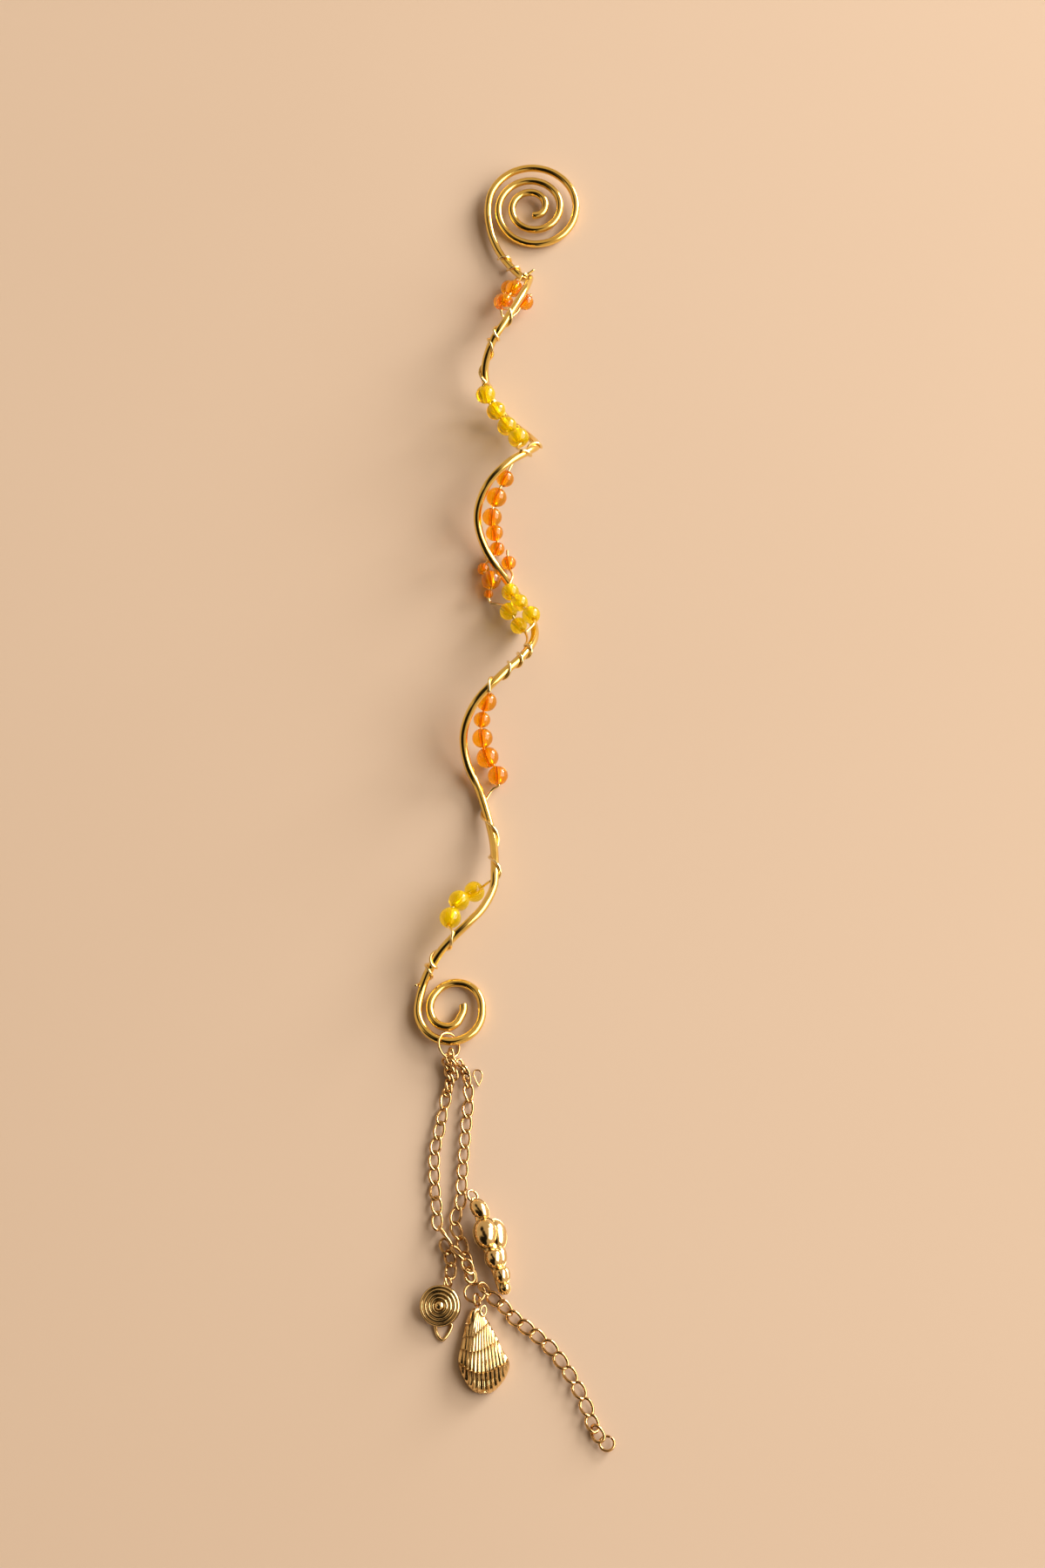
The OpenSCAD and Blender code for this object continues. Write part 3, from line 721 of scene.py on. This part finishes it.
def chains(gold):
    """Stretches of curb chain, with the places of their links along each route. The first links of the
    two strands are packed under the jump ring."""
    rng = np.random.default_rng(3)

    def laid(name, grids):
        piece(name + "_links", grids, gold, "chain_gold", [name], closed=True)

    def spread(route, where, width, half_length=1.6):
        return laid_links(route, where, width, rng.normal(0, ROLL_SPREAD, len(where)), half_length)

    where, rolls = np.arange(0.3, 5.5, 0.95), [48, -42, 50, -45, 38, -20]
    packed = laid_links(LEFT_ROUTE, where, width=1.9, rolls=rolls, half_length=1.15)
    laid("left_chain", packed + spread(LEFT_ROUTE, np.arange(7.1, 29, 2.7), width=2.2))
    where, rolls = [0.7, 2, 3.6], [50, -30, 25]
    packed = laid_links(RIGHT_ROUTE, where, width=1.7, rolls=rolls, half_length=1.25)
    packed += [loose_link(*row) for row in FIRST_LINKS]
    laid("right_chain", packed + spread(RIGHT_ROUTE, np.arange(6, 39.5, 2.75), width=2.2))
    laid("cross_chain", [loose_link(*row) for row in CROSS_LINKS])
    laid("drop_chain", spread(DROP_ROUTE, [0.8, 3, 5.2], width=2.2, half_length=1.4))
    where = [1.2, 3.5, 5.9, 8.4, 11, 13.7, 16.5, 19.4, 22.4, 25.4, 28.3, 30.8]
    first = [loose_link(*TAIL_FIRST_LINK)]
    laid("tail_chain", first + spread(TAIL_ROUTE, where, width=2.5, half_length=1.5))


def rings(gold):
    """Circles of wire, tilted about their middles. A ring's cut ends nearly meet."""
    for name, centre, radius, wire_r, tilts in RINGS:
        end = RING_GAP / 2 / radius
        t = np.linspace(end, 2 * math.pi - end, 96) + RING_CUT
        circle = np.stack([radius * np.cos(t), radius * np.sin(t), 0 * t], -1)
        grid, _ = cut_tube(turned(circle, tilts) + centre, wire_r, sides=12)
        piece(name + "_wire", [grid], gold, "chain_gold", [name])


def flat_loop(name, z, radius, flat, corners, gold, slot):
    """A closed loop of wire that lies flat, along the smooth curve through the corners given."""
    line = smooth_line([[*corner, z] for corner in corners + corners[:1]], spacing=0.12)[:-1]
    grid = tube(line, radius, sides=14, closed=True, flat=flat)
    piece(name + "_wire", [grid], gold, slot, [name], closed=True)


def cast_loop(centre, half_x, half_y, wire, tilts):
    """A small loop of round wire along the ellipse (half x cos t, half y sin t), tilted about its middle.
    Its first ring comes again at its end, which closes it."""
    t = np.linspace(0, 2 * math.pi, 41)[:, None]
    line = np.concatenate([half_x * np.cos(t), half_y * np.sin(t), 0 * t], -1)
    grid = tube(turned(line[:-1], tilts) + np.array(centre), wire / 2, sides=12, closed=True)
    return np.concatenate([grid, grid[:1]])


def lobe(x, y, rim_z, half_x, half_y, height, turn, lean):
    """A dome with a round bead about its foot, closed underneath. Its outline is an egg, (half x
    (1 + 0.08 sin t) cos t, half y sin t), which narrows at the lower end. At 0.9 sin a of the way out,
    the dome is height cos a high."""
    a = np.linspace(0, math.pi / 2, 26)
    bead = np.linspace(2.7, -1.2, 12)
    out = np.concatenate([0.9 * np.sin(a), 0.95 + 0.05 * np.cos(bead), [0.92, 0.7, 0.35, 0]])
    bead_rise = 0.06 * half_x * (0.2 + np.sin(bead))
    rise = np.concatenate([height * np.cos(a), bead_rise, [-0.3, -0.5, -0.6, -0.62]])
    angle = np.linspace(0, 2 * math.pi, 72, endpoint=False)
    px = out[:, None] * half_x * (1 + 0.08 * np.sin(angle)) * np.cos(angle)
    py = out[:, None] * half_y * np.sin(angle)
    pz = np.broadcast_to(rise[:, None], px.shape)
    points = turned(np.stack([px, py, pz], -1), [0, lean, turn])
    # Painted shade in the crease where the dome meets its bead
    hollow_shade = np.exp(-(((out - 0.9) / 0.015) ** 2))
    return points + np.array([x, y, rim_z]), np.broadcast_to(hollow_shade[:, None], px.shape)


def whelk(gold):
    """A tapering body carried along its middle line: circles squashed to 0.9 of their height. Rows of
    lobes stand on it, and a loop at its top."""
    rows = smooth_at(WHELK_BODY, np.linspace(0, len(WHELK_BODY) - 1, 90))
    body = tube(rows[:, :3], np.clip(rows[:, 3], 0, None), sides=48)
    body[..., 2] = rows[:, None, 2] + 0.9 * (body[..., 2] - rows[:, None, 2])
    loop = cast_loop(*WHELK_LOOP)
    lobes = [lobe(*row) for row in WHELK_LOBES]
    grids = [body, loop] + [grid for grid, _ in lobes]
    # Painted shade only in the lobes' creases, none on the body and the loop
    hollow_shades = [np.zeros(body.shape[:2]), np.zeros(loop.shape[:2])] + [hollow_shade for _, hollow_shade in lobes]
    piece("whelk_cast", grids, gold, "charm_gold", ["whelk_charm"], marks={"hollow_shade": hollow_shades})


def disc(gold):
    """A profile turned about its middle: a low dome, middle - (middle - rim) (r / R)^2 high, a straight
    edge and a flat back. At the distance d from its crest, a ridge stands its height times
    sqrt(1 - (d / half width)^2) over the dome. In the middle is a ball of radius sqrt(0.8), 0.85 up, and
    the dome is nowhere lower than that."""
    face = 240
    r = np.concatenate([np.linspace(0, DISC_R, face), np.full(6, DISC_R), [3.2, 1.6, 0]])
    middle, rim = DISC_HEIGHTS
    height = middle - (middle - rim) * (r / DISC_R) ** 2
    # Painted shade in the hollows between the ridges and round the ball, as strong as DISC_SHADE
    deep = np.full_like(r, DISC_SHADE)
    for crest, half in DISC_RIDGES:
        ridge = np.clip(1 - ((r - crest) / half) ** 2, 0, None)
        height = height + DISC_RIDGE * np.sqrt(ridge)
        deep = deep * (ridge < 0.15)
    ball = np.sqrt(np.clip(0.8 - r**2, 0, None))
    height = np.maximum(height, 0.85 + ball)
    deep = deep * (ball < 0.3)
    height[face:] = [0.55, 0.45, 0.35, 0.25, 0.15, 0.08, 0, 0, 0]
    angle = np.linspace(0, 2 * math.pi, 120, endpoint=False)
    x, y = r[:, None] * np.cos(angle), r[:, None] * np.sin(angle)
    grid = np.stack(np.broadcast_arrays(x, y, height[:, None]), -1)
    grid = turned(grid, DISC_TILTS) + np.array(DISC_PLACE)
    loop = cast_loop(*DISC_LOOP)
    marks = {"hollow_shade": [np.broadcast_to(deep[:, None], grid.shape[:2]), np.zeros(loop.shape[:2])]}
    piece("disc_cast", [grid, loop], gold, "charm_gold", ["disc_charm"], marks=marks, crease=60)


def shell_tiers(across, y):
    """For each point, the number of its tier and how far down that tier it is, from 0 to 1."""
    top, foot = (np.full_like(across, end) for end in SHELL_ENDS)
    edges = [top, *(np.interp(across, *np.array(tier).T) for tier in SHELL_TIERS), foot]
    tier_of, down = np.zeros_like(across), np.zeros_like(across)
    for k, (upper, lower) in enumerate(zip(edges, edges[1:])):
        inside = (y <= upper) & (y > lower)
        tier_of = np.where(inside, k, tier_of)
        down = np.where(inside, (upper - y) / (upper - lower), down)
    return tier_of, down


def shell_dome(v, a):
    """The dome (middle - half width cos a, y, edge + height sin a), at each v down the shell's sections
    and each angle a round them, and the direction straight out of it. Past half a turn is its back."""
    y, middle, half, height = smooth_at(SHELL_SECTIONS, v).T[:, :, None]
    rise = np.where(a < math.pi, height, SHELL_BACK) * np.sin(a)
    dome = np.stack([middle - half * np.cos(a), y + 0 * a, SHELL_EDGE_Z + rise], -1)
    normal = np.cross(np.gradient(dome, axis=1), np.gradient(dome, axis=0))
    return dome, normal / np.maximum(np.linalg.norm(normal, axis=-1, keepdims=True), 1e-9)


def shell_ribs(x, y):
    """How high the ribs stand, up to 1, and how far apart they are. They fan out from a point above the
    top. A rib is sqrt(cos^2(pi angle / spacing) + 0.02), which rounds the valleys."""
    out_x, out_y = x - SHELL_FAN[0], SHELL_FAN[1] - y
    wave = np.cos(math.pi * np.degrees(np.arctan2(out_x, out_y)) / SHELL_RIB)
    return np.sqrt(wave**2 + 0.02), np.hypot(out_x, out_y) * math.radians(SHELL_RIB)


def shell(gold):
    """A dome pushed out straight. Each tier climbs to its lower edge and drops there, and the last one
    climbs over its first two fifths. The first tier is smooth, and ribs are stronger on each one after
    it. All this fades out at the rim. A loop stands at the top."""
    last = len(SHELL_SECTIONS) - 1
    v = np.linspace(0, last, 260)
    front, back = np.linspace(0, math.pi, 200), np.linspace(math.pi, 2 * math.pi, 30)[1:-1]
    a = np.concatenate([front, back])[None, :]
    dome, normal = shell_dome(v, a)
    x, y, _ = np.moveaxis(dome, -1, 0)
    tier_of, down = shell_tiers(np.broadcast_to(-np.cos(a), y.shape), y)
    last_climb = SHELL_LAST_CLIMB * (np.clip(down * 2.5, 0, 1) - 1)
    climb = np.where(tier_of < len(SHELL_TIERS), SHELL_CLIMB * (down - 0.6), last_climb)
    ribs, spacing = shell_ribs(x, y)
    ribbed = np.interp(tier_of, [0, 1, 4], [0, 0.55, 1]) * (0.6 + 0.4 * np.clip(down * 2, 0, 1))
    rim = np.clip(np.sin(a) * 3, 0, 1) * np.clip(np.minimum(v * 2, (last - v) * 4)[:, None], 0, 1)
    tiers = climb * np.clip(np.sin(a) * 1.5 - 0.2, 0, 1)
    relief = (tiers + 0.5 * spacing * (ribs - 0.55) * ribbed) * rim
    grid = dome + relief[..., None] * normal
    grid[..., 2] = np.maximum(grid[..., 2], SHELL_GAP)
    grid[[0, -1]] = grid[[0, -1]].mean(1, keepdims=True)
    # Painted shade in the valleys between the ribs
    groove_shade = np.clip((0.36 - ribs) * 2.6, 0, 1) * ribbed
    # Painted shadow below each tier's lower edge
    under_edge_shadow = SHELL_SHADE * np.exp(-((down / SHELL_SHADE_REACH) ** 2)) * (tier_of > 0)
    loop = cast_loop(*SHELL_LOOP)
    marks = {"hollow_shade": [np.clip(groove_shade + under_edge_shadow, 0, 1) * rim, np.zeros(loop.shape[:2])]}
    piece("shell_cast", [grid, loop], gold, "charm_gold", ["shell_charm"], marks=marks, crease=70)


# Stage


def camera():
    """The photo's own view, from about half a metre. It shows all from 1 cm to 20 m away."""
    data = bpy.data.cameras.new("camera")
    data.lens, data.sensor_width = CAMERA_LENS, CAMERA_FILM
    data.clip_start, data.clip_end = 0.01, 20
    eye = bpy.data.objects.new("camera", data)
    bpy.context.scene.collection.objects.link(eye)
    eye.location = CAMERA_PLACE
    eye.rotation_euler = (math.radians(90 - CAMERA_DOWN), 0, 0)
    bpy.context.scene.camera = eye


def lamp(name, direction, distance, along, tall, power):
    """A rectangle of light, in metres and watts, that faces the charm."""
    data = bpy.data.lights.new(name, "AREA")
    data.shape = "RECTANGLE"
    data.size, data.size_y = along, tall
    data.energy, data.color = power, DAYLIGHT
    made = bpy.data.objects.new(name, data)
    bpy.context.scene.collection.objects.link(made)
    made.location = Vector(direction).normalized() * distance
    made.rotation_euler = (-made.location).to_track_quat("-Z", "Y").to_euler()


def floor():
    """A plain pale floor, six metres across, with a faint soft mottle."""
    s = material("floor", Specular_IOR_Level=0.2)
    mottle = s.noise(s.place(), 6, 2)
    s.set(Base_Color=s.blend(mottle, (0.61, 0.46, 0.34), (0.65, 0.5, 0.38)))
    s.set(Roughness=0.7 + 0.1 * mottle)
    mesh = bpy.data.meshes.new("floor")
    corners = [(-3, -3, 0), (3, -3, 0), (3, 3, 0), (-3, 3, 0)]
    mesh.from_pydata(corners, [], [(0, 1, 2, 3)])
    mesh.materials.append(s.owner)
    ground = bpy.data.objects.new("floor", mesh)
    bpy.context.scene.collection.objects.link(ground)


def surroundings():
    """A warm room with dark patches above, toward the camera and at the left. They draw the dark lines
    on the metal."""
    world = bpy.data.worlds.new("room")
    bpy.context.scene.world = world
    s = Shader(world, "Background")
    toward = s.node("TexCoord", {}, {}, "Generated")

    def dark(direction, edge, core):
        sockets = {0: toward, 1: unit(np.array(direction))}
        near = s.node("VectorMath", {"operation": "DOT_PRODUCT"}, sockets, "Value")
        sockets = {"Value": near, "From Min": edge, "From Max": core}
        return s.node("MapRange", {"interpolation_type": "SMOOTHSTEP"}, sockets)

    shade, *others = [dark(*patch) for patch in DARK_PATCHES]
    for other in others:
        shade = shade.or_more(other)
    s.set(Color=s.blend(shade, (0.56, 0.42, 0.27), (0.012, 0.009, 0.005)))


wire = wire_gold()
chain = chain_gold()
cast = cast_gold()
main_wire(wire)
binding_wires(wire)
orange = glass("orange_glass", deep=(0.97, 0.38, 0.001), bright=(1.0, 0.5, 0.002), clear=0.92, painted_glow=0.04)
yellow = glass("yellow_glass", deep=(1.0, 0.72, 0.001), bright=(1.0, 0.83, 0.004), clear=0.78, painted_glow=0.04)
beads({"orange": orange, "yellow": yellow})
chains(chain)
rings(chain)
flat_loop("teardrop_loop", *TEARDROP, chain, "chain_gold")
flat_loop("disc_link", *DISC_LINK, cast, "charm_gold")
whelk(cast)
disc(cast)
shell(cast)
floor()
surroundings()
lamp("window", (0.8, 0.05, 0.55), distance=1.9, along=2.2, tall=1.5, power=50)
lamp("spark", (0.71, 0.65, 0.29), distance=2.0, along=0.8, tall=0.8, power=42)
camera()
scene = bpy.context.scene
scene.view_settings.view_transform = "Standard"
scene.cycles.caustics_refractive = True
